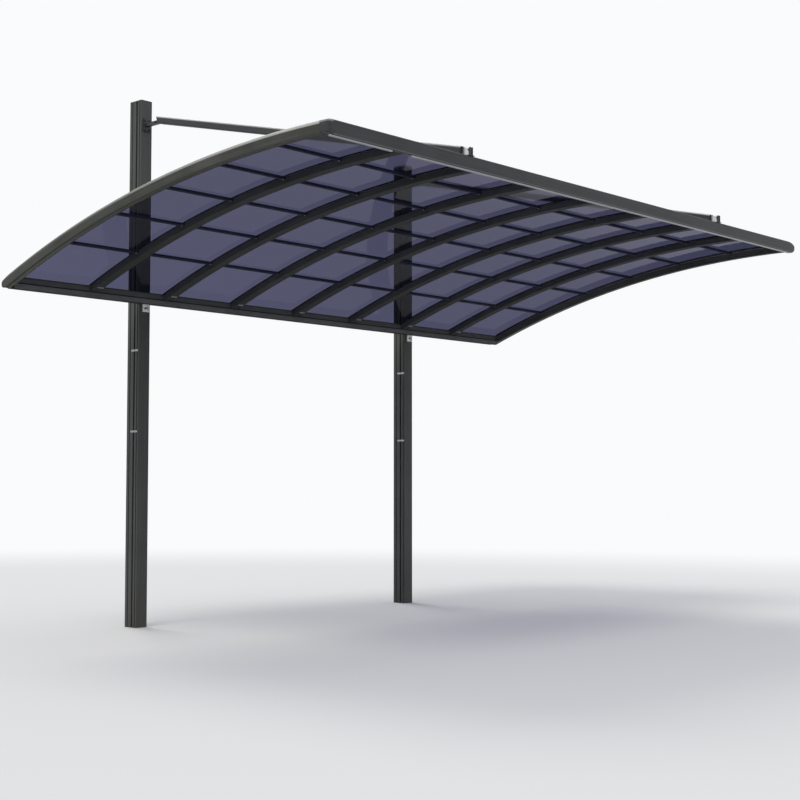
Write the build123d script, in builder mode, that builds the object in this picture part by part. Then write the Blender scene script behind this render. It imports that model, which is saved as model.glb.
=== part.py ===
from build123d import *
import math
import os

os.makedirs("parts", exist_ok=True)

# Driving dimensions, in mm. X runs along the low beam, Y goes back, Z goes up.
# The origin is the middle of the left post's foot. A place in front of the posts is
# given as t, its distance towards the open side, so its Y is minus t.

canopy_length = 5000.0
canopy_depth = 2910.0
post_spacing = 2740.0

post_height = 3640.0
post_width = 96.0
post_depth = 126.0
post_wall = 3.5
post_corner = 4.0
post_foot_plate = 10.0
post_cap_height = 8.0
post_cap_edge = 2.0
groove_narrow = 8.0
groove_narrow_depth = 7.0
groove_wide = 16.0
groove_wide_depth = 13.0
# How far each groove's middle stands in front of the post's middle; minus is behind it.
groove_middle = 16.0
groove_outer = 47.0
groove_inner = -31.0

# The roof line is the arc that all arched pieces follow. These are its heights at the posts' front
# faces and at the back face of the front beam.
roof_back_height = 2264.0
roof_front_height = 2797.0
roof_radius = 7686.0

# The ribs divide the length between two lines, each this far inside an end of the roof.
bay_count = 8
rib_line_inset = 35.0
sheet_drop = 2.0
sheet_thickness = 3.0
sheet_edge_gap = 2.0
cover_rise = 6.0

end_rafter_width = 46.0
end_rafter_depth = 68.0
end_rafter_bevel = 11.0
end_rafter_edge = 5.0
end_rafter_wall = 3.0
rafter_slot_depth = 12.0
nose_drop = 12.0
nose_length = 87.0
nose_round = 22.0
nose_low_round = 22.0
nose_shoulder_round = 200.0

rib_width = 63.0
rib_depth = 41.0
rib_wall = 3.0
rib_key_width = 12.0
cover_strip_width = 56.0

purlin_count = 5
purlin_width = 20.0
purlin_depth = 16.0
purlin_back_margin = 571.0
purlin_front_margin = 525.0

back_beam_depth = 78.0
back_beam_drop = 52.0
back_beam_wall = 3.0
back_beam_step = 7.0
rib_foot_gap = 2.0
back_beam_groove = 9.0
back_beam_groove_depth = 5.0
gutter_width = 42.0
gutter_back_drop = 16.0
sheet_over_gutter = 8.0

front_beam_depth = 68.0
front_beam_rise = 4.0
front_beam_height = 80.0
front_beam_wall = 3.0
front_beam_round = 12.0
front_foot_depth = 23.0
front_back_rise = 16.0
front_slot_depth = 14.0
slot_clearance = 1.0

trim_height = 17.0
trim_back_rise = 9.5
trim_wall = 2.5
trim_rebate = 4.0
trim_inset = 8.0

corner_length = 33.0
corner_plan_round = 14.0
corner_top_round = 16.0
corner_bottom_round = 20.0

arm_width = 50.0
arm_height = 48.0
arm_wall = 3.0
arm_round = 8.0
arm_rear_gap = 142.0
arm_rear_drop = 162.5
arm_rear_lean = 18.0
arm_front_gap = 66.0

pin_back_from_fascia = 22.0
pin_rise = 28.0
ear_width = 44.0
ear_thickness = 8.0
ear_gap = 16.0
ear_round = 22.0
lug_base_width = 64.0
lug_base_thickness = 5.0
lug_base_setback = 8.0
eye_inset = 4.0
tongue_plug = 60.0
tongue_block = 12.0
pin_diameter = 14.0

bracket_drop = 174.0
bracket_plate_width = 60.0
bracket_plate_height = 88.0
bracket_plate_thickness = 8.0
bracket_neck_width = 30.0
bracket_neck_height = 22.0
bracket_plug = 60.0
bracket_plug_inset = 16.0
cross_pin_diameter = 14.0
cross_pin_length = 46.0
cross_pin_gap = 26.0

beam_bracket_width = 54.0
beam_bracket_height = 52.0
beam_bracket_depth = 17.0
beam_bracket_rim = 6.0
beam_bracket_floor = 5.0
beam_bracket_boss = 22.0

# Values worked out from the ones above.

canopy_left = -(canopy_length - post_spacing) / 2
canopy_right = canopy_left + canopy_length
back_t = post_depth / 2
front_t = back_t + canopy_depth
beam_face_t = back_t + back_beam_depth
beam_wall_t = beam_face_t - back_beam_step
beam_base = roof_back_height - back_beam_drop
front_beam_back_t = front_t - front_beam_depth
front_beam_top = roof_front_height + front_beam_rise
front_beam_base = front_beam_top - front_beam_height
front_foot_t = front_t - front_foot_depth
trim_base = front_beam_base - trim_height
inner_length = canopy_length - 2 * end_rafter_width
bay_pitch = (canopy_length - 2 * rib_line_inset) / bay_count
sheet_base_drop = sheet_drop + sheet_thickness

# The arc's middle point, from the two points with given heights and its radius.
chord_run = front_beam_back_t - back_t
chord_rise = roof_front_height - roof_back_height
chord = math.hypot(chord_run, chord_rise)
chord_gap = math.sqrt(roof_radius**2 - (chord / 2) ** 2)
arc_t = (back_t + front_beam_back_t) / 2 + chord_gap * chord_rise / chord
arc_z = (roof_back_height + roof_front_height) / 2 - chord_gap * chord_run / chord


def roof_z(t, drop=0.0):
    # Height of the roof line, or of a line that runs the given drop below it, at t.
    reach = roof_radius - drop
    return arc_z + math.sqrt(reach**2 - (t - arc_t) ** 2)


def arc_angle(t):
    # Angle of the roof line's radius at t, back from straight up.
    return math.degrees(math.asin((arc_t - t) / roof_radius))


def arc_plane(t):
    # A plane across the roof at t: its X is along the canopy and its Y points away from the arc's middle.
    a = math.radians(arc_angle(t))
    return Plane(origin=(0, -arc_t, arc_z), x_dir=(1, 0, 0), z_dir=(0, -math.cos(a), math.sin(a)))


arc_axis = Axis((0, -arc_t, arc_z), (1, 0, 0))


def rib_centre(number):
    # The two lines that the ribs are counted from are number 0 and number bay_count.
    return canopy_left + rib_line_inset + bay_pitch * number


def facing_front(points):
    # Turns pairs of t and z into points on the YZ plane.
    return [(-t, z) for t, z in points]


# Posts: closed at the foot, hollow above it, with three upright grooves in each side face.

for name, post_x in (("left_post", 0.0), ("right_post", post_spacing)):
    with BuildPart() as post:
        with BuildSketch(Plane.XY) as outline:
            with Locations((post_x, 0)):
                Rectangle(post_width, post_depth)
            chamfer(outline.vertices(), length=post_corner)
            for side in (-1, 1):
                with Locations((post_x + side * post_width / 2, -groove_middle)):
                    Rectangle(2 * groove_wide_depth, groove_wide, mode=Mode.SUBTRACT)
                with Locations(
                    (post_x + side * post_width / 2, -groove_outer),
                    (post_x + side * post_width / 2, -groove_inner),
                ):
                    Rectangle(2 * groove_narrow_depth, groove_narrow, mode=Mode.SUBTRACT)
        extrude(amount=post_height - post_cap_height)
        with BuildSketch(Plane.XY.offset(post_foot_plate)) as hollow:
            with Locations((post_x, 0)):
                Rectangle(post_width - 2 * post_wall, post_depth - 2 * post_wall)
            for side in (-1, 1):
                with Locations((post_x + side * post_width / 2, -groove_middle)):
                    Rectangle(
                        2 * (groove_wide_depth + post_wall),
                        groove_wide + 2 * post_wall,
                        mode=Mode.SUBTRACT,
                    )
                with Locations(
                    (post_x + side * post_width / 2, -groove_outer),
                    (post_x + side * post_width / 2, -groove_inner),
                ):
                    Rectangle(
                        2 * (groove_narrow_depth + post_wall),
                        groove_narrow + 2 * post_wall,
                        mode=Mode.SUBTRACT,
                    )
        extrude(amount=post_height, mode=Mode.SUBTRACT)
    post.part.label = name
    export_step(post.part, f"parts/{name}.step")

for name, post_x in (("left_post_cap", 0.0), ("right_post_cap", post_spacing)):
    with BuildPart() as post_cap:
        with BuildSketch(Plane.XY.offset(post_height - post_cap_height)) as cap_outline:
            with Locations((post_x, 0)):
                Rectangle(post_width, post_depth)
            chamfer(cap_outline.vertices(), length=post_corner)
        extrude(amount=post_cap_height)
        chamfer(post_cap.faces().sort_by(Axis.Z)[-1].edges(), length=post_cap_edge)
    post_cap.part.label = name
    export_step(post_cap.part, f"parts/{name}.step")

# Back beam: a gutter against the posts and a hollow front wall that the roof stands on. The wall has a
# lip and a groove along it, just under the feet of the ribs.

wall_back_t = back_t + back_beam_wall + gutter_width
gutter_floor = beam_base + back_beam_wall
lip_top = roof_z(beam_wall_t, sheet_base_drop + rib_depth) - rib_foot_gap
groove_top = lip_top + back_beam_groove
groove_t = beam_wall_t - back_beam_groove_depth
wall_hollow_t = groove_t - back_beam_wall

with BuildPart() as back_beam:
    with BuildSketch(Plane.YZ.offset(canopy_left + end_rafter_width)) as beam_outline:
        with BuildLine():
            Polyline(
                *facing_front(
                    [
                        (back_t, beam_base),
                        (beam_face_t, beam_base),
                        (beam_face_t, lip_top),
                        (groove_t, lip_top),
                        (groove_t, groove_top),
                        (beam_wall_t, groove_top),
                        (beam_wall_t, roof_z(beam_wall_t, sheet_base_drop)),
                        (wall_back_t, roof_z(wall_back_t, sheet_base_drop)),
                        (wall_back_t, gutter_floor),
                        (back_t + back_beam_wall, gutter_floor),
                        (back_t + back_beam_wall, roof_back_height - gutter_back_drop),
                        (back_t, roof_back_height - gutter_back_drop),
                    ]
                ),
                close=True,
            )
        make_face()
        with BuildLine():
            Polyline(
                *facing_front(
                    [
                        (wall_back_t + back_beam_wall, gutter_floor),
                        (beam_face_t - back_beam_wall, gutter_floor),
                        (beam_face_t - back_beam_wall, lip_top - back_beam_wall),
                        (wall_hollow_t, lip_top - back_beam_wall),
                        (wall_hollow_t, roof_z(wall_hollow_t, sheet_base_drop + back_beam_wall)),
                        (
                            wall_back_t + back_beam_wall,
                            roof_z(wall_back_t + back_beam_wall, sheet_base_drop + back_beam_wall),
                        ),
                    ]
                ),
                close=True,
            )
        make_face(mode=Mode.SUBTRACT)
    extrude(amount=inner_length)
back_beam.part.label = "back_beam"
export_step(back_beam.part, "parts/back_beam.step")

# Front beam: hollow, with a slot in its back wall that takes the sheets' front edges. Its underside
# rises behind a flat foot that the pale strip is fixed to.

slot_end_t = front_beam_back_t + front_slot_depth
slot_back_t = slot_end_t + front_beam_wall
hollow_back_t = front_beam_back_t + front_beam_wall
slot_top_drop = sheet_drop - slot_clearance
hollow_drop = sheet_base_drop + front_beam_wall


def front_low_z(t, rise=0.0):
    # Height of the front beam's underside at t, or of a line that runs the given rise over it.
    back_share = max(0.0, (front_foot_t - t) / (front_foot_t - front_beam_back_t))
    return front_beam_base + front_back_rise * back_share + rise


with BuildPart() as front_beam:
    with BuildSketch(Plane.YZ.offset(canopy_left + corner_length)) as front_outline:
        with BuildLine():
            Polyline(
                *facing_front(
                    [
                        (front_beam_back_t, front_low_z(front_beam_back_t)),
                        (front_foot_t, front_beam_base),
                        (front_t, front_beam_base),
                        (front_t, front_beam_top),
                        (front_beam_back_t, front_beam_top),
                        (front_beam_back_t, roof_z(front_beam_back_t, slot_top_drop)),
                        (slot_end_t, roof_z(slot_end_t, slot_top_drop)),
                        (slot_end_t, roof_z(slot_end_t, sheet_base_drop)),
                        (front_beam_back_t, roof_z(front_beam_back_t, sheet_base_drop)),
                    ]
                ),
                close=True,
            )
        make_face()
        outer_corner = front_outline.vertices().sort_by(Axis.Y)[-2:].sort_by(Axis.X)[0]
        fillet(outer_corner, radius=front_beam_round)
        with BuildLine():
            Polyline(
                *facing_front(
                    [
                        (hollow_back_t, front_low_z(hollow_back_t, front_beam_wall + 0.5)),
                        (front_foot_t, front_low_z(front_foot_t, front_beam_wall)),
                        (front_t - front_beam_wall, front_low_z(front_t, front_beam_wall)),
                        (front_t - front_beam_wall, front_beam_top - front_beam_round),
                        (front_t - front_beam_round, front_beam_top - front_beam_wall),
                        (slot_back_t, front_beam_top - front_beam_wall),
                        (slot_back_t, roof_z(slot_back_t, hollow_drop)),
                        (hollow_back_t, roof_z(hollow_back_t, hollow_drop)),
                    ]
                ),
                close=True,
            )
        make_face(mode=Mode.SUBTRACT)
    extrude(amount=canopy_length - 2 * corner_length)
front_beam.part.label = "front_beam"
export_step(front_beam.part, "parts/front_beam.step")

# The pale strip under the front beam: a hollow lip that is deepest at its front face, with a small
# rebate that leaves a shadow line under the beam.


def trim_low_z(t, rise=0.0):
    # Height of the strip's underside at t, or of a line that runs the given rise over it.
    return trim_base + trim_back_rise * (front_t - t) / front_foot_depth + rise


trim_back_t = front_foot_t + trim_wall
trim_front_t = front_t - trim_rebate - trim_wall

with BuildPart() as front_trim:
    with BuildSketch(Plane.YZ.offset(canopy_left + trim_inset)) as trim_outline:
        with BuildLine():
            Polyline(
                *facing_front(
                    [
                        (front_foot_t, trim_low_z(front_foot_t)),
                        (front_t, trim_base),
                        (front_t, front_beam_base - trim_rebate),
                        (front_t - trim_rebate, front_beam_base - trim_rebate),
                        (front_t - trim_rebate, front_beam_base),
                        (front_foot_t, front_beam_base),
                    ]
                ),
                close=True,
            )
        make_face()
        with BuildLine():
            Polyline(
                *facing_front(
                    [
                        (trim_back_t, trim_low_z(trim_back_t, trim_wall)),
                        (trim_front_t, trim_low_z(trim_front_t, trim_wall)),
                        (trim_front_t, front_beam_base - trim_wall),
                        (trim_back_t, front_beam_base - trim_wall),
                    ]
                ),
                close=True,
            )
        make_face(mode=Mode.SUBTRACT)
    extrude(amount=canopy_length - 2 * trim_inset)
front_trim.part.label = "front_trim"
export_step(front_trim.part, "parts/front_trim.step")

# Corner pieces of the front beam. Each is what three outlines have in common: plan, front view and end view.

for name, side in (("front_left_corner", -1), ("front_right_corner", 1)):
    outer_x = canopy_left if side < 0 else canopy_right
    inner_x = outer_x - side * corner_length
    middle_x = (outer_x + inner_x) / 2
    with BuildPart() as corner:
        with BuildSketch(Plane.XY.offset(front_beam_base)) as plan_outline:
            with Locations((middle_x, -(front_beam_back_t + front_t) / 2)):
                Rectangle(corner_length, front_beam_depth)
            plan_corners = plan_outline.vertices().sort_by(Axis.Y)[:2].sort_by(Axis.X)
            fillet(plan_corners[0 if side < 0 else -1], radius=corner_plan_round)
        extrude(amount=front_beam_height)
        with BuildSketch(Plane.XZ.offset(front_beam_back_t)) as front_view:
            with Locations((middle_x, front_beam_base + front_beam_height / 2)):
                Rectangle(corner_length, front_beam_height)
            top_corners = front_view.vertices().sort_by(Axis.Y)[-2:].sort_by(Axis.X)
            fillet(top_corners[0 if side < 0 else -1], radius=corner_top_round)
            low_corners = front_view.vertices().sort_by(Axis.Y)[:2].sort_by(Axis.X)
            fillet(low_corners[0 if side < 0 else -1], radius=corner_bottom_round)
        extrude(amount=front_beam_depth, mode=Mode.INTERSECT)
        with BuildSketch(Plane.YZ.offset(min(outer_x, inner_x))) as end_view:
            with BuildLine():
                Polyline(
                    *facing_front(
                        [
                            (front_beam_back_t, front_low_z(front_beam_back_t)),
                            (front_foot_t, front_beam_base),
                            (front_t, front_beam_base),
                            (front_t, front_beam_top),
                            (front_beam_back_t, front_beam_top),
                        ]
                    ),
                    close=True,
                )
            make_face()
            end_corner = end_view.vertices().sort_by(Axis.Y)[-2:].sort_by(Axis.X)[0]
            fillet(end_corner, radius=front_beam_round)
        extrude(amount=corner_length, mode=Mode.INTERSECT)
    corner.part.label = name
    export_step(corner.part, f"parts/{name}.step")

# End rafters: hollow, bevelled round the outer top edge, with a slot on the inner side for the sheet.

# The nose outline rounds off each rafter's rear end, and its long top line stays over the arc.

nose_rise = (front_t - back_t - nose_length) * math.tan(math.radians(arc_angle(back_t + nose_length)))
sweep_extra = 0.6
sweep_start = arc_angle(back_t) + sweep_extra
sweep_size = sweep_start - arc_angle(front_t) + sweep_extra
sweep_plane = Plane(
    origin=(0, -arc_t, arc_z),
    x_dir=(1, 0, 0),
    z_dir=(0, -math.cos(math.radians(sweep_start)), math.sin(math.radians(sweep_start))),
)

for name, side in (("left_end_rafter", -1), ("right_end_rafter", 1)):
    outer_x = canopy_left if side < 0 else canopy_right
    inner_x = outer_x - side * end_rafter_width
    middle_x = (outer_x + inner_x) / 2
    rafter_top = roof_radius + cover_rise
    rafter_base = rafter_top - end_rafter_depth
    with BuildPart() as end_rafter:
        with BuildSketch(sweep_plane) as rafter_outline:
            with Locations((middle_x, (rafter_top + rafter_base) / 2)):
                Rectangle(end_rafter_width, end_rafter_depth)
            high_corners = rafter_outline.vertices().sort_by(Axis.Y)[-2:].sort_by(Axis.X)
            chamfer(high_corners[0 if side < 0 else -1], length=end_rafter_bevel)
            bevel_corners = rafter_outline.vertices().sort_by_distance((outer_x, rafter_top))[:2]
            chamfer(bevel_corners, length=end_rafter_edge)
            with Locations((inner_x, roof_radius - sheet_drop - sheet_thickness / 2 + slot_clearance / 2)):
                Rectangle(2 * rafter_slot_depth, sheet_thickness + slot_clearance, mode=Mode.SUBTRACT)
            hollow_width = end_rafter_width - rafter_slot_depth - 2 * end_rafter_wall
            with Locations(
                (
                    outer_x - side * (end_rafter_wall + hollow_width / 2),
                    (rafter_top + rafter_base) / 2 - end_rafter_bevel / 4,
                )
            ):
                Rectangle(
                    hollow_width,
                    end_rafter_depth - 2 * end_rafter_wall - end_rafter_bevel / 2,
                    mode=Mode.SUBTRACT,
                )
        revolve(axis=arc_axis, revolution_arc=sweep_size)
        with BuildSketch(Plane.YZ.offset(min(outer_x, inner_x))) as nose_outline:
            with BuildLine():
                Polyline(
                    *facing_front(
                        [
                            (back_t, beam_base),
                            (back_t, roof_back_height - nose_drop),
                            (back_t + nose_length, roof_z(back_t + nose_length, -cover_rise)),
                            (front_t, roof_z(back_t + nose_length, -cover_rise) + nose_rise),
                            (front_t, beam_base),
                        ]
                    ),
                    close=True,
                )
            make_face()
            rear_corners = nose_outline.vertices().sort_by(Axis.X)
            fillet(rear_corners[-2:].sort_by(Axis.Y)[0], radius=nose_low_round)
            rear_corners = nose_outline.vertices().sort_by(Axis.Y)
            fillet([v for v in rear_corners if abs(v.Y - roof_back_height + nose_drop) < 1], radius=nose_round)
            shoulder = [v for v in nose_outline.vertices() if abs(v.X + back_t + nose_length) < 1]
            fillet(shoulder, radius=nose_shoulder_round)
        extrude(amount=end_rafter_width, mode=Mode.INTERSECT)
        split(bisect_by=Plane.XZ.offset(front_beam_back_t), keep=Keep.BOTTOM)
    end_rafter.part.label = name
    export_step(end_rafter.part, f"parts/{name}.step")

# Ribs: hollow boxes with a key along the top that the cover strip is fixed to.

for number in range(1, bay_count):
    name = f"rib_{number}"
    rib_top = roof_radius - sheet_base_drop
    key_top = roof_radius - sheet_drop
    with BuildPart() as rib:
        with BuildSketch(sweep_plane) as rib_outline:
            with Locations((rib_centre(number), rib_top - rib_depth / 2)):
                Rectangle(rib_width, rib_depth)
            with Locations((rib_centre(number), (rib_top + key_top) / 2)):
                Rectangle(rib_key_width, key_top - rib_top)
            with Locations((rib_centre(number), rib_top - rib_depth / 2)):
                Rectangle(rib_width - 2 * rib_wall, rib_depth - 2 * rib_wall, mode=Mode.SUBTRACT)
        revolve(axis=arc_axis, revolution_arc=sweep_size)
        split(bisect_by=Plane.XZ.offset(beam_wall_t), keep=Keep.TOP)
        split(bisect_by=Plane.XZ.offset(front_beam_back_t), keep=Keep.BOTTOM)
    rib.part.label = name
    export_step(rib.part, f"parts/{name}.step")

# Purlins: thin bars under the sheets, in pieces between the ribs.

purlin_top = math.hypot(roof_radius - sheet_base_drop, purlin_width / 2) - purlin_width**2 / 4 / roof_radius
purlin_pitch = (canopy_depth - purlin_back_margin - purlin_front_margin) / (purlin_count - 1)

for number in range(1, purlin_count + 1):
    name = f"purlin_{number}"
    purlin_t = back_t + purlin_back_margin + purlin_pitch * (number - 1)
    with BuildPart() as purlin:
        for bay in range(bay_count):
            start_x = rib_centre(bay) + rib_width / 2
            end_x = rib_centre(bay + 1) - rib_width / 2
            if bay == 0:
                start_x = canopy_left + end_rafter_width
            if bay == bay_count - 1:
                end_x = canopy_right - end_rafter_width
            with BuildSketch(arc_plane(purlin_t)) as purlin_outline:
                with Locations(((start_x + end_x) / 2, purlin_top - purlin_depth / 2)):
                    Rectangle(end_x - start_x, purlin_depth)
            extrude(amount=purlin_width / 2, both=True)
    purlin.part.label = name
    export_step(purlin.part, f"parts/{name}.step")

# Sheets: one a bay, from over the gutter into the front beam's slot.

sheet_back_t = wall_back_t - sheet_over_gutter
sheet_front_t = slot_end_t - sheet_edge_gap

for number in range(1, bay_count + 1):
    name = f"panel_{number}"
    left_edge = rib_centre(number - 1) + rib_key_width / 2 + sheet_edge_gap
    right_edge = rib_centre(number) - rib_key_width / 2 - sheet_edge_gap
    if number == 1:
        left_edge = canopy_left + end_rafter_width - rafter_slot_depth + sheet_edge_gap
    if number == bay_count:
        right_edge = canopy_right - end_rafter_width + rafter_slot_depth - sheet_edge_gap
    with BuildPart() as panel:
        with BuildSketch(sweep_plane) as panel_outline:
            with Locations(((left_edge + right_edge) / 2, roof_radius - sheet_drop - sheet_thickness / 2)):
                Rectangle(right_edge - left_edge, sheet_thickness)
        revolve(axis=arc_axis, revolution_arc=sweep_size)
        split(bisect_by=Plane.XZ.offset(sheet_back_t), keep=Keep.TOP)
        split(bisect_by=Plane.XZ.offset(sheet_front_t), keep=Keep.BOTTOM)
    panel.part.label = name
    export_step(panel.part, f"parts/{name}.step")

# Cover strips: thin strips over the ribs that hold down the sheets' edges.

strip_height = sheet_drop + cover_rise

with BuildPart() as cover_strips:
    for number in range(1, bay_count):
        with BuildSketch(sweep_plane) as strip_outline:
            with Locations((rib_centre(number), roof_radius + cover_rise - strip_height / 2)):
                Rectangle(cover_strip_width, strip_height)
        revolve(axis=arc_axis, revolution_arc=sweep_size)
    split(bisect_by=Plane.XZ.offset(sheet_back_t), keep=Keep.TOP)
    split(bisect_by=Plane.XZ.offset(front_beam_back_t), keep=Keep.BOTTOM)
cover_strips.part.label = "cover_strips"
export_step(cover_strips.part, "parts/cover_strips.step")

# The tie arms slope down from the posts to the lugs on the front beam. Each arm's middle line goes
# from a set height at the arm's rear end to the middle of the lug's pin.

pin_t = front_t - pin_back_from_fascia
pin_z = front_beam_top + pin_rise
arm_rear_t = back_t + arm_rear_gap
arm_rear_z = post_height - arm_rear_drop
arm_front_t = front_t - arm_front_gap
slope = (arm_rear_z - pin_z) / (pin_t - arm_rear_t)
arm_angle = math.degrees(math.atan(slope))


def arm_z(t):
    return pin_z + (pin_t - t) * slope


def across(post_x, t, lean):
    # A plane through the arm's middle line at t, that leans back from upright by the given angle.
    a = math.radians(lean)
    return Plane(
        origin=(post_x, -t, arm_z(t)),
        x_dir=(1, 0, 0),
        z_dir=(0, -math.cos(a), math.sin(a)),
    )


tongue_side = arm_width - 2 * arm_wall
tongue_high = arm_height - 2 * arm_wall

for side_name, post_x in (("left", 0.0), ("right", post_spacing)):
    # The arm is a box section whose rear end is cut to lean back towards the post.
    with BuildPart() as tie_arm:
        with BuildSketch(across(post_x, arm_front_t, -arm_angle)) as arm_outline:
            RectangleRounded(arm_width, arm_height, arm_round)
            Rectangle(tongue_side, tongue_high, mode=Mode.SUBTRACT)
        extrude(amount=-(arm_front_t - back_t) / math.cos(math.radians(arm_angle)))
        split(bisect_by=across(post_x, arm_rear_t, arm_rear_lean), keep=Keep.TOP)
    tie_arm.part.label = f"{side_name}_tie_arm"
    export_step(tie_arm.part, f"parts/{side_name}_tie_arm.step")

    # The tongue is a plug inside the arm, a full block at the arm's end and a flat eye round the pin.
    with BuildPart() as tongue:
        with BuildSketch(across(post_x, arm_front_t, -arm_angle)) as plug_outline:
            Rectangle(tongue_side, tongue_high)
        extrude(amount=-tongue_plug)
        with BuildSketch(across(post_x, arm_front_t, -arm_angle)) as block_outline:
            Rectangle(tongue_side, arm_height)
        extrude(amount=tongue_block)
        eye_start_t = arm_front_t + tongue_block / 2
        eye_half = ear_round - eye_inset
        with BuildSketch(Plane.YZ.offset(post_x - ear_gap / 2)) as eye_outline:
            with BuildLine():
                Polyline(
                    (-eye_start_t, arm_z(eye_start_t) - arm_height / 2 + 1),
                    (-eye_start_t, arm_z(eye_start_t) + arm_height / 2 - 1),
                    (-pin_t, pin_z + eye_half),
                    (-pin_t, pin_z - eye_half),
                    close=True,
                )
            make_face()
            with Locations((-pin_t, pin_z)):
                Circle(eye_half)
                Circle(pin_diameter / 2, mode=Mode.SUBTRACT)
        extrude(amount=ear_gap)
    tongue.part.label = f"{side_name}_arm_tongue"
    export_step(tongue.part, f"parts/{side_name}_arm_tongue.step")

    # The lug stands on the front beam: a base plate, two round-topped ears and the pin through them.
    with BuildPart() as lug:
        with BuildSketch(Plane.XY.offset(front_beam_top)) as lug_base:
            with Locations((post_x, -(pin_t - lug_base_setback))):
                Rectangle(lug_base_width, ear_width)
        extrude(amount=lug_base_thickness)
        for ear_side in (-1, 1):
            ear_x = post_x + ear_side * (ear_gap + ear_thickness) / 2
            with BuildSketch(Plane.YZ.offset(ear_x - ear_thickness / 2)) as ear_outline:
                with Locations((-pin_t, (front_beam_top + pin_z) / 2)):
                    Rectangle(ear_width, pin_z - front_beam_top)
                with Locations((-pin_t, pin_z)):
                    Circle(ear_round)
            extrude(amount=ear_thickness)
        with BuildSketch(Plane.YZ.offset(post_x - ear_gap / 2 - ear_thickness)) as pin_outline:
            with Locations((-pin_t, pin_z)):
                Circle(pin_diameter / 2)
        extrude(amount=ear_gap + 2 * ear_thickness)
    lug.part.label = f"{side_name}_arm_lug"
    export_step(lug.part, f"parts/{side_name}_arm_lug.step")

    # The rear bracket: a plate on the post, a level neck with a cross pin, and a plug inside the arm.
    bracket_z = post_height - bracket_drop
    plug_t = arm_rear_t + bracket_plug_inset
    with BuildPart() as arm_bracket:
        with BuildSketch(Plane.XZ.offset(back_t)) as bracket_plate:
            with Locations((post_x, bracket_z)):
                Rectangle(bracket_plate_width, bracket_plate_height)
        extrude(amount=bracket_plate_thickness)
        with BuildSketch(Plane.XZ.offset(back_t)) as neck_outline:
            with Locations((post_x, bracket_z)):
                Rectangle(bracket_neck_width, bracket_neck_height)
        extrude(amount=plug_t - back_t)
        with BuildSketch(Plane.YZ.offset(post_x - cross_pin_length / 2)) as cross_pin_outline:
            with Locations((cross_pin_gap - arm_rear_t, bracket_z)):
                Circle(cross_pin_diameter / 2)
        extrude(amount=cross_pin_length)
        with BuildSketch(across(post_x, plug_t, -arm_angle)) as plug_outline:
            Rectangle(tongue_side, tongue_high)
        extrude(amount=bracket_plug)
    arm_bracket.part.label = f"{side_name}_arm_bracket"
    export_step(arm_bracket.part, f"parts/{side_name}_arm_bracket.step")

    # The small bracket under the back beam: a shallow tray on the post's face with a boss in it.
    tray_z = beam_base - beam_bracket_height / 2
    with BuildPart() as beam_bracket:
        with BuildSketch(Plane.XZ.offset(back_t)) as tray_outline:
            with Locations((post_x, tray_z)):
                Rectangle(beam_bracket_width, beam_bracket_height)
        extrude(amount=beam_bracket_depth)
        with BuildSketch(Plane.XZ.offset(back_t + beam_bracket_floor)) as tray_hollow:
            with Locations((post_x, tray_z)):
                Rectangle(
                    beam_bracket_width - 2 * beam_bracket_rim,
                    beam_bracket_height - 2 * beam_bracket_rim,
                )
        extrude(amount=beam_bracket_depth, mode=Mode.SUBTRACT)
        with BuildSketch(Plane.XZ.offset(back_t)) as tray_boss:
            with Locations((post_x, tray_z)):
                Rectangle(beam_bracket_boss, beam_bracket_boss)
        extrude(amount=beam_bracket_depth - beam_bracket_floor)
    beam_bracket.part.label = f"{side_name}_beam_bracket"
    export_step(beam_bracket.part, f"parts/{side_name}_beam_bracket.step")
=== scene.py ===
import math

import bpy
from mathutils import Matrix, Vector


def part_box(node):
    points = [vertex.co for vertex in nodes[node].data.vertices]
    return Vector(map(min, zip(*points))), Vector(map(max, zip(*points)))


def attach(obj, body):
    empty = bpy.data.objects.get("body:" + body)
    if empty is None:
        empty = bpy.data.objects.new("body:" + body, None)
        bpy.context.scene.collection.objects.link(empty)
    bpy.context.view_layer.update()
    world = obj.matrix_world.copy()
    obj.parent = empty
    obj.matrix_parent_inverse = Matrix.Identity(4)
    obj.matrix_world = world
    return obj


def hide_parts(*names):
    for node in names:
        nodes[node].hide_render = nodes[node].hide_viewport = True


# The carport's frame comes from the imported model, in metres. X runs along the low beam, minus Y points
# to the open side and Z goes up. A place in front of the posts is written as t, which is minus Y.
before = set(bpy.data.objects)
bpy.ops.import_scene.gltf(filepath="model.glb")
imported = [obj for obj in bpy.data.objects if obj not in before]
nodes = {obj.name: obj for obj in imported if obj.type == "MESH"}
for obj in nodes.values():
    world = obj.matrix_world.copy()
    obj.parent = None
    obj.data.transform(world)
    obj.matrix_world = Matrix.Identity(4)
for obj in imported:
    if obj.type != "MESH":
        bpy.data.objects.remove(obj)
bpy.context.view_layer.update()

# The roof line is an arc. These are its heights at the posts' faces and at the front beam's back face.
ROOF_BACK_HEIGHT = 2.264
ROOF_FRONT_HEIGHT = 2.797
ROOF_RADIUS = 7.686
BACK_T = 0.063
FRONT_BEAM_BACK_T = 2.905

# Depths under the roof line of the sheets' and the end rafters' undersides, and the cover strips' rise.
SHEET_UNDER = 0.005
RAFTER_UNDER = 0.062
COVER_RISE = 0.006
RIB_COUNT = 7
PURLIN_COUNT = 5

# X of the posts and of the roof's middle, and the back beam's wall with the height of its long groove.
POSTS = (0.0, 2.74)
ROOF_MIDDLE = 1.370
BEAM_WALL_T = 0.134
GROOVE_HEIGHT = 2.2403

# The tie arms' middle line as t and Z, from the rear end to the pin on the front beam, and their section.
ARM_REAR = (0.205, 3.4775)
ARM_PIN = (2.951, 2.829)
ARM_HEIGHT = 0.048
ARM_WIDTH = 0.050
ARM_FRONT_T = 2.907

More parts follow.
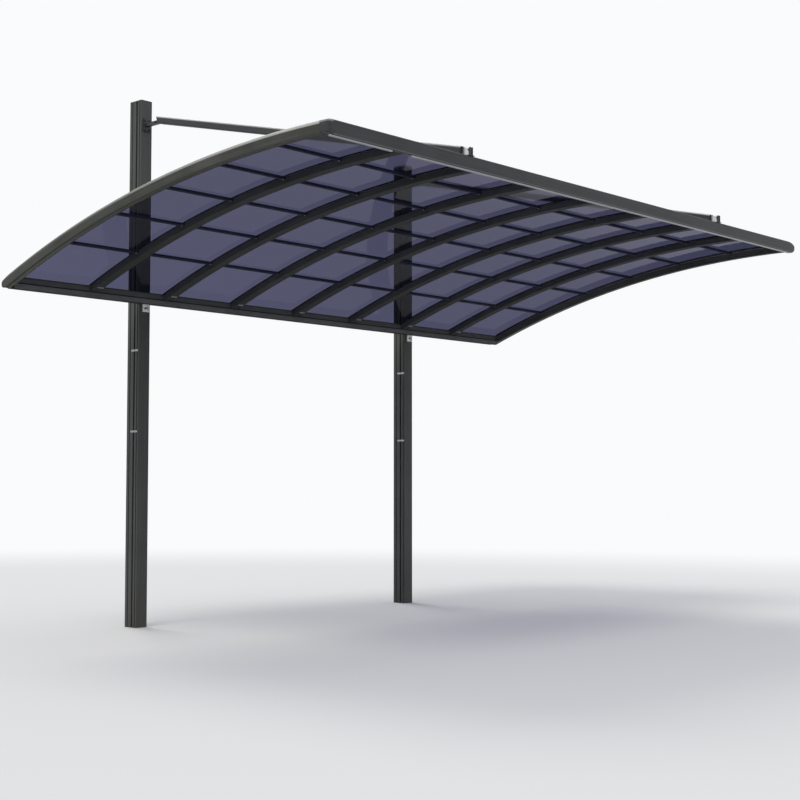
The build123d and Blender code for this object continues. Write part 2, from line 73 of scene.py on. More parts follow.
# X at which the front beam's right casting starts, and the two ends of the break in the pale lip.
NOSE_START = 3.775
LIP_BREAK = (-0.655, -0.505)

# Points nearer than the first are merged, and a point counts as on a face when it is nearer than the second.
MERGE_GAP = 0.00002
ON_FACE = 0.00001

# Heights of the bands of painted highlight and painted shade along edges: on the front beam, from the arc's
# middle on the end rafters, and over the middle line on the tie arms.
BEAM_FOOT_EDGE = (2.7190, 2.7290)
BEAM_HEAD_EDGE = (2.7865, 2.8006)
RAFTER_EDGE = (ROOF_RADIUS - 0.0165, ROOF_RADIUS + 0.0057)
ARM_EDGE = (0.0135, 0.0238)

SURROUND_WHITE = "fafbfc"

chord_run = FRONT_BEAM_BACK_T - BACK_T
chord_rise = ROOF_FRONT_HEIGHT - ROOF_BACK_HEIGHT
chord = math.hypot(chord_run, chord_rise)
chord_gap = math.sqrt(ROOF_RADIUS**2 - (chord / 2) ** 2)
ARC_T = (BACK_T + FRONT_BEAM_BACK_T) / 2 + chord_gap * chord_rise / chord
ARC_Z = (ROOF_BACK_HEIGHT + ROOF_FRONT_HEIGHT) / 2 - chord_gap * chord_run / chord
ARM_SLOPE = (ARM_REAR[1] - ARM_PIN[1]) / (ARM_PIN[0] - ARM_REAR[0])
ARM_ANGLE = math.atan(ARM_SLOPE)


def roof_z(t, drop=0.0):
    """Height of the roof line, or of a line the given drop under it, at t."""
    reach = ROOF_RADIUS - drop
    return ARC_Z + math.sqrt(reach**2 - (t - ARC_T) ** 2)


def roof_turn(t):
    """The angle from straight up at which the roof line's radius stands at t."""
    return math.asin((ARC_T - t) / ROOF_RADIUS)


def roof_up(t):
    """The direction that points straight out of the roof at t."""
    return Vector((0.0, math.sin(roof_turn(t)), math.cos(roof_turn(t))))


def arm_z(t):
    """Height of a tie arm's middle line at t."""
    return ARM_PIN[1] + (ARM_PIN[0] - t) * ARM_SLOPE


def place_camera():
    """The photograph's view, solved from the roof's straight and arched edges."""
    yaw, pitch = math.radians(48.02), math.radians(3.381)
    focal_pixels, photo_pixels, sensor_width = 1435.1, 800, 36.0
    ahead = Vector((math.sin(yaw) * math.cos(pitch), math.cos(yaw) * math.cos(pitch), math.sin(pitch)))
    right = Vector((math.cos(yaw), -math.sin(yaw), 0.0))
    up = right.cross(ahead)
    data = bpy.data.cameras.new("camera")
    data.sensor_width = sensor_width
    data.lens = focal_pixels / photo_pixels * sensor_width
    data.clip_end = 300.0
    camera = bpy.data.objects.new("camera", data)
    bpy.context.scene.collection.objects.link(camera)
    turn = Matrix((right, up, -ahead)).transposed().to_4x4()
    turn.translation = Vector((-6.1436, -7.9611, 0.9709))
    camera.matrix_world = turn
    bpy.context.scene.camera = camera


def linear(code):
    """An sRGB hex colour as the linear colour that the shaders take."""
    parts = [int(code[i:i + 2], 16) / 255 for i in (0, 2, 4)]
    return tuple(c / 12.92 if c <= 0.04045 else ((c + 0.055) / 1.055) ** 2.4 for c in parts) + (1.0,)


def add(tree, kind, sockets=None, **settings):
    """Adds one node. A socket given another node's output is linked, any other value is set on it."""
    node = tree.nodes.new(kind)
    for key, value in settings.items():
        setattr(node, key, value)
    for key, value in (sockets or {}).items():
        if isinstance(value, bpy.types.NodeSocket):
            tree.links.new(value, node.inputs[key])
        else:
            node.inputs[key].default_value = value
    return node


def split(tree, place):
    """The three parts of a place."""
    return list(add(tree, "ShaderNodeSeparateXYZ", {0: place}).outputs)


def combine(tree, *parts):
    """A place from two or three parts."""
    return add(tree, "ShaderNodeCombineXYZ", dict(enumerate(parts))).outputs[0]


def worked(tree, operation, *values):
    """One step of arithmetic."""
    return add(tree, "ShaderNodeMath", dict(enumerate(values)), operation=operation).outputs[0]


def length(tree, place):
    """How far a place is from the origin."""
    return add(tree, "ShaderNodeVectorMath", {0: place}, operation="LENGTH").outputs["Value"]


def ranged(tree, value, start, end, low=0.0, high=1.0, **settings):
    """Carries a value from the range start to end over to the range low to high, and keeps it there."""
    return add(tree, "ShaderNodeMapRange", {"Value": value, "From Min": start, "From Max": end,
                                            "To Min": low, "To Max": high}, **settings).outputs["Result"]


def blend(tree, share, first, second):
    """Two colours mixed, the second by the share. Each is a hex colour or another node's output."""
    ends = [linear(end) if isinstance(end, str) else end for end in (first, second)]
    return add(tree, "ShaderNodeMix", {0: share, 6: ends[0], 7: ends[1]}, data_type="RGBA").outputs[2]


def noise(tree, place, scale, detail, roughness=0.5):
    """Cloudy noise with the given number of patches a metre."""
    return add(tree, "ShaderNodeTexNoise", {"Vector": place, "Scale": scale, "Detail": detail,
                                            "Roughness": roughness}).outputs[0]


def stretched(tree, place, scales):
    """A place with its three parts scaled."""
    return add(tree, "ShaderNodeMapping", {"Vector": place, "Scale": scales}).outputs[0]


def dented(tree, height, strength, distance):
    """The normal of a skin with small dents that are the given distance deep."""
    return add(tree, "ShaderNodeBump", {"Height": height, "Strength": strength,
                                        "Distance": distance}).outputs[0]


def new_material(name):
    """An empty material, its node tree and the object's own coordinates in it."""
    material = bpy.data.materials.new(name)
    material.use_nodes = True
    tree = material.node_tree
    tree.nodes.clear()
    return material, tree, add(tree, "ShaderNodeTexCoord").outputs["Object"]


def set_surface(tree, shader):
    """Ends a material with the given shader."""
    add(tree, "ShaderNodeOutputMaterial", {"Surface": shader.outputs[0]})


def seen_rays(tree):
    """1 for the rays that look at the background: from the camera, in a gloss or through a sheet."""
    path = add(tree, "ShaderNodeLightPath").outputs
    some = worked(tree, "MAXIMUM", path["Is Camera Ray"], path["Is Glossy Ray"])
    return worked(tree, "MAXIMUM", some, path["Is Transmission Ray"])


def light_the_studio():
    """A plain white surround that is seen at full strength and lights at a plain level, a soft key and a
    soft rim light. The surround lights a little more from above than from the sides."""
    world = bpy.data.worlds.new("studio")
    bpy.context.scene.world = world
    world.use_nodes = True
    tree = world.node_tree
    tree.nodes.clear()
    height = split(tree, add(tree, "ShaderNodeTexCoord").outputs["Generated"])[2]
    lit = add(tree, "ShaderNodeBackground", {"Color": linear("f1f5ff"),
                                             "Strength": ranged(tree, height, 0.0, 0.9, 0.46, 0.80)})
    seen = add(tree, "ShaderNodeBackground", {"Color": linear(SURROUND_WHITE), "Strength": 1.0})
    both = add(tree, "ShaderNodeMixShader", {0: seen_rays(tree), 1: lit.outputs[0], 2: seen.outputs[0]})
    add(tree, "ShaderNodeOutputWorld", {"Surface": both.outputs[0]})

    for name, energy, spread_angle, towards in (("key", 1.15, 26, (-0.62, -0.26, 0.95)),
                                                ("rim", 1.10, 24, (0.16, 0.58, 0.80))):
        lamp = bpy.data.lights.new(name, "SUN")
        lamp.energy = energy
        lamp.angle = math.radians(spread_angle)
        lamp.color = (1.0, 0.975, 0.94)
        stand = bpy.data.objects.new(name, lamp)
        bpy.context.scene.collection.objects.link(stand)
        stand.rotation_euler = Vector(towards).to_track_quat("Z", "Y").to_euler()
    bpy.context.scene.view_settings.view_transform = "Standard"


def floor_finish():
    """Pale matt studio floor that fades into the white surround. It gives back little light from below."""
    material, tree, place = new_material("studio_floor_matt_paint")
    fade_start, fade_end = 6.5, 13.0
    fade = ranged(tree, length(tree, place), fade_start, fade_end, interpolation_type="SMOOTHSTEP")
    seen = seen_rays(tree)
    matt = add(tree, "ShaderNodeBsdfDiffuse", {"Color": blend(tree, seen, "70706c", "d2d2d0")})
    white = add(tree, "ShaderNodeEmission", {"Color": linear(SURROUND_WHITE), "Strength": 1.0})
    share = worked(tree, "MULTIPLY", fade, seen)
    set_surface(tree, add(tree, "ShaderNodeMixShader", {0: share, 1: matt.outputs[0], 2: white.outputs[0]}))
    return material


def lay_floor():
    """A round floor that is large enough to have no edge in any view."""
    clear_selection()
    bpy.ops.mesh.primitive_circle_add(vertices=96, radius=120.0, fill_type="NGON", location=(0, 0, 0))
    floor = bpy.context.object
    floor.name = "floor"
    floor.data.materials.append(floor_finish())


def run_beam(tree, place):
    """Along a straight beam: X is the length."""
    return place


def run_post(tree, place):
    """Along a post: Z is the length, so it is turned to be the first axis."""
    x, y, z = split(tree, place)
    return combine(tree, z, x, y)


def run_arc(tree, place):
    """Along the roof's arc: the way round it, then X, then the distance from the arc's middle."""
    x, y, z = split(tree, place)
    side = worked(tree, "ADD", y, ARC_T)
    rise = worked(tree, "SUBTRACT", z, ARC_Z)
    around = worked(tree, "MULTIPLY", worked(tree, "ARCTAN2", side, rise), ROOF_RADIUS)
    return combine(tree, around, x, length(tree, combine(tree, side, rise)))


def run_arm(tree, place):
    """Along a tie arm: the way down the slope, then X, then the height over the arm's middle line."""
    level = add(tree, "ShaderNodeMapping", {"Vector": place, "Location": (0.0, ARM_REAR[0], -ARM_REAR[1])})
    turned = add(tree, "ShaderNodeMapping", {"Vector": level.outputs[0], "Rotation": (-ARM_ANGLE, 0.0, 0.0)})
    x, y, z = split(tree, turned.outputs[0])
    return combine(tree, y, x, z)


def at_face(tree, distance, face):
    """1 on the skin of a face that looks down or forward, and 0 from 2 mm inside it."""
    return ranged(tree, distance, face + 0.0020, face + 0.0008)


def painted_edge_light_and_shade(tree, shade, place, along, start, end, back_colour, front_colour):
    """Painted highlight and painted shade along an edge: a band between two heights, lighter than the profile
    where it paints a highlight and darker where it paints shade, with its own tone at the back and the front.
    """
    height = split(tree, along)[2]
    soft_start, sharp_end = 0.0015, 0.0003
    over = ranged(tree, height, start, start + soft_start)
    under = ranged(tree, height, end, end - sharp_end)
    forward = ranged(tree, split(tree, place)[1], -0.4, -2.7)
    return blend(tree, worked(tree, "MULTIPLY", over, under), shade,
                 blend(tree, forward, back_colour, front_colour))


def darker_post_foot(tree, shade, place, along):
    """Darker and browner towards the foot of a post, up to a ragged edge at about half a metre."""
    ragged = worked(tree, "MULTIPLY", noise(tree, place, 2.6, 4.0, 0.6), 0.5)
    over_edge = worked(tree, "SUBTRACT", split(tree, place)[2], ragged)
    return blend(tree, ranged(tree, over_edge, 0.25, -0.25, 0.0, 0.45), shade, "4d4b45")


def painted_underside_light_and_shade(tree, shade, place, along):
    """Painted light and painted shade on the end rafters' undersides: an inner band painted pale at the low
    end, next to an outer edge painted dark as shade.
    """
    x, y = split(tree, place)[:2]
    under = at_face(tree, split(tree, along)[2], ROOF_RADIUS - RAFTER_UNDER)
    from_middle = worked(tree, "ABSOLUTE", worked(tree, "SUBTRACT", x, ROOF_MIDDLE))
    inner = ranged(tree, from_middle, 2.486, 2.480)
    low_end = ranged(tree, y, -1.7, -0.2)
    # Painted light: the inner band at the low end is lighter, and the rest of the underside is painted
    # darker.
    tone = blend(tree, worked(tree, "MULTIPLY", inner, low_end), "565753", "8e8f89")
    return blend(tree, under, shade, tone)


def painted_light_on_wall(tree, shade, place, along):
    """Painted light on the back beam's wall under the roof: the wall is painted lighter, most of all under
    its groove, in uneven patches about 0.14 m wide."""
    y, z = split(tree, place)[1:]
    wall = at_face(tree, y, -BEAM_WALL_T)
    lower = ranged(tree, z, GROOVE_HEIGHT + 0.001, GROOVE_HEIGHT - 0.001)
    patchy = ranged(tree, noise(tree, place, 7.0, 5.0, 0.65), 0.25, 0.65, 0.70, 1.0)
    return blend(tree, worked(tree, "MULTIPLY", wall, patchy), shade, blend(tree, lower, "787977", "8f908c"))


def extruded_aluminium(name, colour, deep, run, roughness=0.46, gloss=0.25, metallic=0.08, dust=None,
                       edges=()):
    """Charcoal anodised aluminium profile. Its die lines run along the length, 0.5 mm apart on the real
    one and drawn 5 mm apart so that they show, and its tone changes slowly, as the oxide's depth does.
    dust is the function that darkens the posts towards their feet, and draws painted light and painted shade
    on the end rafters' undersides and the back beam's wall. Each edge is a band of painted light, lighter for
    a highlight and darker for shade: the heights between which it lies, and its colours at the back and the
    front."""
    material, tree, place = new_material(name)
    along = run(tree, place)
    die_lines = noise(tree, stretched(tree, along, (1.2, 200.0, 200.0)), 1.0, 3.0)
    slow_tone = noise(tree, place, 2.6, 4.0, 0.6)
    specks = noise(tree, place, 160.0, 2.0)
    shade = blend(tree, ranged(tree, worked(tree, "MULTIPLY", slow_tone, die_lines), 0.14, 0.36),
                  deep, colour)
    # dust darkens the posts' feet, and draws painted light and painted shade on the end rafters' undersides
    # and the back beam's wall.
    if dust:
        shade = dust(tree, shade, place, along)
    # Each edge band is painted light: a highlight where it is lighter, shade where it is darker.
    for edge in edges:
        shade = painted_edge_light_and_shade(tree, shade, place, along, *edge)
    set_surface(tree, add(tree, "ShaderNodeBsdfPrincipled", {
        "Base Color": shade, "Metallic": metallic, "Specular IOR Level": gloss,
        "Roughness": ranged(tree, specks, 0.3, 0.7, roughness - 0.05, roughness + 0.07),
        "Normal": dented(tree, die_lines, 0.10, 0.0006)}))
    return material


def bare_metal(name, colour, deep, roughness):
    """Bare aluminium or stainless steel: satin, with a brushed grain that is drawn 3 mm wide."""
    material, tree, place = new_material(name)
    grain = noise(tree, stretched(tree, place, (8.0, 330.0, 330.0)), 1.0, 3.0)
    bloom = noise(tree, place, 14.0, 5.0)
    set_surface(tree, add(tree, "ShaderNodeBsdfPrincipled", {
        "Base Color": blend(tree, bloom, deep, colour), "Metallic": 1.0,
        "Roughness": ranged(tree, grain, 0.3, 0.7, roughness - 0.06, roughness + 0.08),
        "Normal": dented(tree, grain, 0.15, 0.0004)}))
    return material


def grained_coat(name, colour, deep, roughness, grain_size):
    """A coat or moulding with a fine even grain: powder coated steel, moulded ABS or EPDM rubber.
    grain_size is the real grain in metres, which the bump follows at 2.5 times its size."""
    material, tree, place = new_material(name)
    grit = noise(tree, place, 1.0 / (2.5 * grain_size), 2.0)
    tone = noise(tree, place, 9.0, 4.0)
    set_surface(tree, add(tree, "ShaderNodeBsdfPrincipled", {
        "Base Color": blend(tree, tone, deep, colour),
        "Roughness": ranged(tree, tone, 0.3, 0.7, roughness - 0.05, roughness + 0.05),
        "Normal": dented(tree, grit, 0.2, grain_size)}))
    return material


def tinted_polycarbonate():
    """Solid smoke violet polycarbonate, 3 mm thick, with slow waves from its extrusion and a thin film of
    dust. Seen at a slant the light has a longer way through it, so it darkens. Lamps shine through it.
    Its IOR is set well under the real 1.585, because the real roof shows next to no reflection from below.
    The weather layer on its upper face is a clear gloss coat."""
    material, tree, place = new_material("smoke_violet_polycarbonate_sheet")
    waves = noise(tree, place, 3.0, 1.0)
    dust = noise(tree, place, 12.0, 6.0, 0.7)
    slant = add(tree, "ShaderNodeLayerWeight", {"Blend": 0.5}).outputs["Facing"]
    near = blend(tree, dust, "5b5c74", "60617a")
    facing_up = split(tree, add(tree, "ShaderNodeNewGeometry").outputs["Normal"])[2]
    sheet = add(tree, "ShaderNodeBsdfPrincipled", {
        "Base Color": blend(tree, ranged(tree, slant, 0.45, 0.85), near, "363750"),
        "Roughness": ranged(tree, dust, 0.35, 0.75, 0.03, 0.07), "IOR": 1.05, "Transmission Weight": 1.0,
        "Coat Weight": ranged(tree, facing_up, 0.3, 0.6, 0.0, 0.6), "Coat Roughness": 0.22,
        "Normal": dented(tree, waves, 0.05, 0.002)})
    clear = add(tree, "ShaderNodeBsdfTransparent", {"Color": linear("8c8da6")})
    shadow = add(tree, "ShaderNodeLightPath").outputs["Is Shadow Ray"]
    set_surface(tree, add(tree, "ShaderNodeMixShader", {0: shadow, 1: sheet.outputs[0], 2: clear.outputs[0]}))
    return material


def clear_selection():
    """Leaves edit mode and selects nothing."""
    if bpy.context.object and bpy.context.object.mode != "OBJECT":
        bpy.ops.object.mode_set(mode="OBJECT")
    bpy.ops.object.select_all(action="DESELECT")


def only(piece):
    """Makes a piece the only one selected, and the active one."""
    clear_selection()
    piece.select_set(True)
    bpy.context.view_layer.objects.active = piece


def placed(piece):
    """Puts a piece's place, turn and scale into its mesh."""
    only(piece)
    bpy.ops.object.transform_apply(location=True, rotation=True, scale=True)
    return piece


def pick_faces(piece, test):
    """Goes into edit mode with just the faces selected whose middle and normal pass the test."""
    only(piece)
    bpy.ops.object.mode_set(mode="EDIT")
    bpy.ops.mesh.select_mode(type="FACE")
    bpy.ops.mesh.select_all(action="DESELECT")
    bpy.ops.object.mode_set(mode="OBJECT")
    for face in piece.data.polygons:
        face.select = test(face.center, face.normal)
    bpy.ops.object.mode_set(mode="EDIT")


def soften(piece, width, segments=2):
    """Bevels the sharp edges and applies the modifier."""
    only(piece)
    bevel = piece.modifiers.new("bevel", "BEVEL")
    bevel.width = width
    bevel.segments = segments
    bevel.limit_method = "ANGLE"
    bevel.angle_limit = math.radians(35)
    bpy.ops.object.modifier_apply(modifier=bevel.name)


def join(pieces, name):
    """Joins pieces into one with the given name."""
    clear_selection()
    for piece in pieces:
        piece.select_set(True)
    bpy.context.view_layer.objects.active = pieces[0]
    if len(pieces) > 1:
        bpy.ops.object.join()
    piece = bpy.context.object
    piece.name = name
    return piece


def settle(piece, material, smooth=35.0):
    """Puts the place into the mesh, points the faces outwards and hands the piece to the frame."""
    placed(piece)
    bpy.ops.object.mode_set(mode="EDIT")
    bpy.ops.mesh.select_all(action="SELECT")
    bpy.ops.mesh.remove_doubles(threshold=MERGE_GAP)
    bpy.ops.mesh.normals_make_consistent(inside=False)
    bpy.ops.object.mode_set(mode="OBJECT")
    bpy.ops.object.shade_smooth_by_angle(angle=math.radians(smooth))
    piece.data.name = piece.name
    piece.data.materials.clear()
    piece.data.materials.append(material)
    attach(piece, "root")
    return piece


def copied(model, moves):
    """A copy of the model, with its own mesh, for each move. The model itself is taken away."""
    copies = []
    for move in moves:
        copy = bpy.data.objects.new(model.name, model.data.copy())
        bpy.context.scene.collection.objects.link(copy)
        copy.data.transform(move)
        copies.append(copy)
    bpy.data.objects.remove(model, do_unlink=True)
    return copies


def along_x(places):
    """The moves that carry a model from X = 0 to each place."""
    return [Matrix.Translation((x, 0.0, 0.0)) for x in places]


def spread(model, name, places):
    """Copies a small model to each place, given as a point and the way its top faces, and joins them."""
    moves = [Matrix.Translation(point) @ Vector(up).to_track_quat("Z", "Y").to_matrix().to_4x4()
             for point, up in places]
    return join(copied(model, moves), name)


def outline(name, points):
    """One flat face with its corners at the given points."""
    clear_selection()
    bpy.ops.mesh.primitive_circle_add(vertices=len(points), radius=0.01, fill_type="NGON")
    face = bpy.context.object
    for vertex, point in zip(face.data.vertices, points):
        vertex.co = point
    face.name = name
    bpy.ops.object.mode_set(mode="EDIT")
    bpy.ops.mesh.select_all(action="SELECT")
    return face


def arc_bar(name, corners, start_t, end_t, steps=44):
    """A bar along the roof's arc. Its section is drawn as pairs of X and height over the roof line."""
    up = roof_up(start_t)
    foot = Vector((0.0, -start_t, roof_z(start_t)))
    bar = outline(name, [foot + Vector((x, 0.0, 0.0)) + up * rise for x, rise in corners])
    bpy.ops.mesh.spin(steps=steps, angle=roof_turn(end_t) - roof_turn(start_t),
                      center=(0.0, -ARC_T, ARC_Z), axis=(1.0, 0.0, 0.0))
    bpy.ops.object.mode_set(mode="OBJECT")
    return bar


def straight_bar(name, corners, start_x, end_x):
    """A bar along X. Its section is drawn as pairs of t and Z."""
    bar = outline(name, [(start_x, -t, z) for t, z in corners])
    bpy.ops.mesh.extrude_region_move(TRANSFORM_OT_translate={"value": (end_x - start_x, 0.0, 0.0)})
    bpy.ops.object.mode_set(mode="OBJECT")
    return bar


def oblong(low_t, low_z, high_t, high_z):
    """The four corners of an upright oblong section."""
    return [(low_t, low_z), (high_t, low_z), (high_t, high_z), (low_t, high_z)]


def skin_over(name, rings):
    """A closed shell over rings of points. Each ring has as many points as the next one."""
    count = len(rings[0])
    clear_selection()
    bpy.ops.mesh.primitive_grid_add(x_subdivisions=count, y_subdivisions=len(rings) - 1, size=1.0)
    shell = bpy.context.object
    shell.name = name
    for number, vertex in enumerate(shell.data.vertices):
        row, place = divmod(number, count + 1)
        vertex.co = rings[row][place % count]
    bpy.ops.object.mode_set(mode="EDIT")
    bpy.ops.mesh.select_all(action="SELECT")
    bpy.ops.mesh.remove_doubles(threshold=MERGE_GAP)
    bpy.ops.mesh.select_all(action="SELECT")
    bpy.ops.mesh.fill_holes(sides=0)
    bpy.ops.object.mode_set(mode="OBJECT")
    return shell


def nose_casting(name, inner, outer, front_foot, back_foot, top, plan_round, foot_round, head_round,
                 shoulder):
    """The rounded end piece of the front beam. Its section is the beam's at the inner end, and it draws in
    at the front, the foot and the head towards the outer end. At the back the head falls by the shoulder
    only, because the end rafter stands behind it. Feet are pairs of t and Z."""
    steps, corner_steps, top_steps = 12, 6, 6
    rings = []
    for step in range(steps + 1):
        turn = math.pi / 2 * step / steps
        out = math.sin(turn)
        drawn = 1 - math.cos(turn)
        x = inner + (outer - inner) * out
        front = front_foot[0] - plan_round * drawn
        foot = front_foot[1] + foot_round * drawn
        foot_edge = 0.001 + 0.003 * drawn
        head_edge = 0.012 - 0.008 * drawn

        def head(t):
            share = out * (t - back_foot[0]) / (front_foot[0] - back_foot[0])
            return top - shoulder * drawn - head_round * (1 - math.sqrt(max(0.0, 1 - share**2)))

        ring = [(back_foot[0], max(back_foot[1], foot))]
        for i in range(corner_steps + 1):
            a = math.pi / 2 * i / corner_steps
            ring.append((front - foot_edge + foot_edge * math.sin(a),
                         foot + foot_edge - foot_edge * math.cos(a)))
        for i in range(corner_steps + 1):
            a = math.pi / 2 * i / corner_steps
            t = front - head_edge + head_edge * math.cos(a)
            ring.append((t, head(t) - head_edge * (1 - math.sin(a))))
        for i in range(1, top_steps + 1):
            t = front - head_edge + (back_foot[0] - front + head_edge) * i / top_steps
            ring.append((t, head(t)))
        rings.append([Vector((x, -t, z)) for t, z in ring])
    return skin_over(name, rings)


def bead(x, rise, radius, sides=6):
    """The corners of a round bead's section."""
    turns = [2 * math.pi * i / sides for i in range(sides)]
    return [(x + radius * math.cos(a), rise + radius * math.sin(a)) for a in turns]


def round_edges(piece, test, width, segments=5):
    """Rounds the edges whose two ends pass the test."""
    only(piece)
    bpy.ops.object.mode_set(mode="EDIT")
    bpy.ops.mesh.select_mode(type="EDGE")
    bpy.ops.mesh.select_all(action="DESELECT")
    bpy.ops.object.mode_set(mode="OBJECT")
    points = [vertex.co for vertex in piece.data.vertices]
    for edge in piece.data.edges:
        edge.select = all(test(points[i]) for i in edge.vertices)
    bpy.ops.object.mode_set(mode="EDIT")
    bpy.ops.mesh.bevel(offset=width, segments=segments, affect="EDGES", clamp_overlap=True)
    bpy.ops.object.mode_set(mode="OBJECT")


def disc(sides, radius, thickness, foot=0.0):
    """A disc, or a prism with few sides, that stands at the given height."""
    clear_selection()
    bpy.ops.mesh.primitive_cylinder_add(vertices=sides, radius=radius, depth=thickness,
                                        location=(0, 0, foot + thickness / 2))
    return placed(bpy.context.object)


def hex_bolt(across, height, washer, washer_thick=0.0016):
    """A hexagon head with its top edge turned off, on a round washer. It stands on Z = 0."""
    ring = disc(20, washer / 2, washer_thick)
    soften(ring, washer_thick * 0.3, 1)
    head = disc(6, across / math.sqrt(3), height, washer_thick)
    pick_faces(head, lambda middle, normal: normal.z > 0.9)
    bpy.ops.mesh.inset(thickness=across * 0.10)
    bpy.ops.transform.translate(value=(0, 0, height * 0.14))
    bpy.ops.object.mode_set(mode="OBJECT")
    return join([ring, head], "bolt")


def pan_screw(diameter, height):
    """A low domed screw head with a small recess. It stands on Z = 0."""
    screw = disc(12, diameter / 2, height * 0.5)
    pick_faces(screw, lambda middle, normal: normal.z > 0.9)
    bpy.ops.mesh.inset(thickness=diameter * 0.14)
    bpy.ops.transform.translate(value=(0, 0, height * 0.5))
    bpy.ops.mesh.inset(thickness=diameter * 0.14)
    bpy.ops.transform.translate(value=(0, 0, -height * 0.4))
    bpy.ops.object.mode_set(mode="OBJECT")
    return screw


# The end rafters' outer top edge carries a painted highlight that is brighter towards the front, and their
# undersides carry painted light and painted shade.
rafter_profile = extruded_aluminium("charcoal_anodised_end_rafter_profile", "64655f", "4a4b46", run_arc,
                                    roughness=0.58, gloss=0.11, metallic=0.0, dust=painted_underside_light_and_shade,
                                    edges=((*RAFTER_EDGE, "6e6d68", "c4c3bc"),))
# The front beam's foot edge is painted lighter and its head edge darker: painted light and painted shade.
beam_profile = extruded_aluminium("charcoal_anodised_beam_profile", "494b4c", "3c3e40", run_beam,
                                  edges=((*BEAM_FOOT_EDGE, "646668", "646668"),
                                         (*BEAM_HEAD_EDGE, "3b3d3f", "3b3d3f")))
# The back beam's wall is painted lighter: painted light.
back_beam_profile = extruded_aluminium("charcoal_anodised_back_beam_profile", "505152", "444647", run_beam,
                                       roughness=0.74, gloss=0.03, metallic=0.0, dust=painted_light_on_wall)
# The corner casting's head edge is a painted highlight.
casting_finish = extruded_aluminium("charcoal_anodised_corner_casting", "494b4c", "3c3e40", run_beam,
                                    edges=((*BEAM_HEAD_EDGE, "9a9994", "9a9994"),))
# The tie arms' top edge is a painted highlight that is a little brighter towards the front.
arm_profile = extruded_aluminium("charcoal_anodised_arm_profile", "4b4c4d", "3e4041", run_arm,
                                 edges=((*ARM_EDGE, "a6a6a3", "b2b2ae"),))
post_profile = extruded_aluminium("charcoal_anodised_post_profile", "5e605c", "50524f", run_post,
                                  dust=darker_post_foot)
rib_profile = extruded_aluminium("dark_anodised_rib_profile", "5c5e5d", "4c4f4e", run_arc,
                                 roughness=0.70, gloss=0.06, metallic=0.0)
purlin_profile = extruded_aluminium("dark_anodised_purlin_profile", "3c4052", "303344", run_beam,
                                    roughness=0.70, gloss=0.06, metallic=0.0)
lip_finish = bare_metal("clear_anodised_aluminium_lip", "9d9fa1", "8b8d90", 0.45)
bright_finish = bare_metal("mill_finish_aluminium_fitting", "dddee0", "c8cacc", 0.40)
bolt_finish = bare_metal("stainless_steel_bolt", "a9abad", "8f9294", 0.32)
strap_finish = bare_metal("weathered_aluminium_strap", "8b8d8f", "787a7c", 0.36)
lug_finish = grained_coat("charcoal_powder_coated_steel", "404244", "35383a", 0.48, 0.0012)
cap_finish = grained_coat("charcoal_moulded_abs", "393b3c", "2f3132", 0.55, 0.0008)
gasket_finish = grained_coat("black_epdm_gasket", "1e1f20", "161718", 0.72, 0.0010)
sheet_finish = tinted_polycarbonate()

# A CAD node gets the finish of the first of these words that is in its name, and else the beam's.
NODE_FINISHES = (
    ("panel_", sheet_finish),
    ("end_rafter", rafter_profile),
    ("rib_", rib_profile),
    ("cover_strips", rib_profile),
    ("purlin_", purlin_profile),
    ("post_cap", cap_finish),
    ("_post", post_profile),
    ("tie_arm", arm_profile),
    ("arm_tongue", bright_finish),
    ("beam_bracket", bright_finish),
    ("arm_bracket", lug_finish),
    ("arm_lug", lug_finish),
    ("front_trim", lip_finish),
    ("back_beam", back_beam_profile),
)


def dress_frame():
    """Gives each CAD node the finish of the real piece."""
    for name, node in nodes.items():
        finish = next((finish for word, finish in NODE_FINISHES if word in name), beam_profile)
        for slot in node.material_slots:
            slot.material = finish


def rib_boxes():
    """The lower and the upper corner of each rib's box, from the left."""
    return [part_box(f"rib_{number}") for number in range(1, RIB_COUNT + 1)]


def fit_gaskets():
    """Black gaskets where the sheets lie on the ribs, the end rafters and the two beams. The black beads at
    the end rafters' inner lower edges are partly gaskets and partly painted shade for the shadow line there."""
    radius, edge_radius = 0.0035, 0.0030
    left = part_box("left_end_rafter")[1][0]
    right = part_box("right_end_rafter")[0][0]
    places = []
    for low, high in rib_boxes():
        places += [low[0] - 0.001, high[0] + 0.001]
    places += [left + 0.0015, right - 0.0015]
    under_sheet = arc_bar("gasket", bead(0.0, -SHEET_UNDER - radius, radius), BEAM_WALL_T, FRONT_BEAM_BACK_T)
    bars = copied(under_sheet, along_x(places))
    # Partly painted shade: these black beads also stand in for the shadow line along the end rafters' inner
    # lower edges.
    at_edge = arc_bar("gasket", bead(0.0, edge_radius / 2 - RAFTER_UNDER, edge_radius),
                      BEAM_WALL_T + 0.010, FRONT_BEAM_BACK_T - 0.001)
    bars += copied(at_edge, along_x((left, right)))
    across = straight_bar("gasket", bead(0.0, 0.0, radius), left, right)
    bars += copied(across, [Matrix.Translation((0.0, -t, roof_z(t, SHEET_UNDER) - radius))
                            for t in (BEAM_WALL_T + 0.001, FRONT_BEAM_BACK_T - 0.001)])
    settle(join(bars, "sheet_gaskets"), gasket_finish, 60)


def fit_strip_screws():
    """Sealing screws that hold the cover strips down, about every 0.34 m."""
    count, first_t, pitch = 9, 0.14, 0.335
    places = []
    for low, high in rib_boxes():
        for step in range(count):
            t = first_t + pitch * step
            point = Vector(((low[0] + high[0]) / 2, -t, roof_z(t))) + roof_up(t) * COVER_RISE
            places.append((point, roof_up(t)))
    model = hex_bolt(across=0.010, height=0.0045, washer=0.019, washer_thick=0.0022)
    settle(spread(model, "strip_screws", places), bolt_finish)


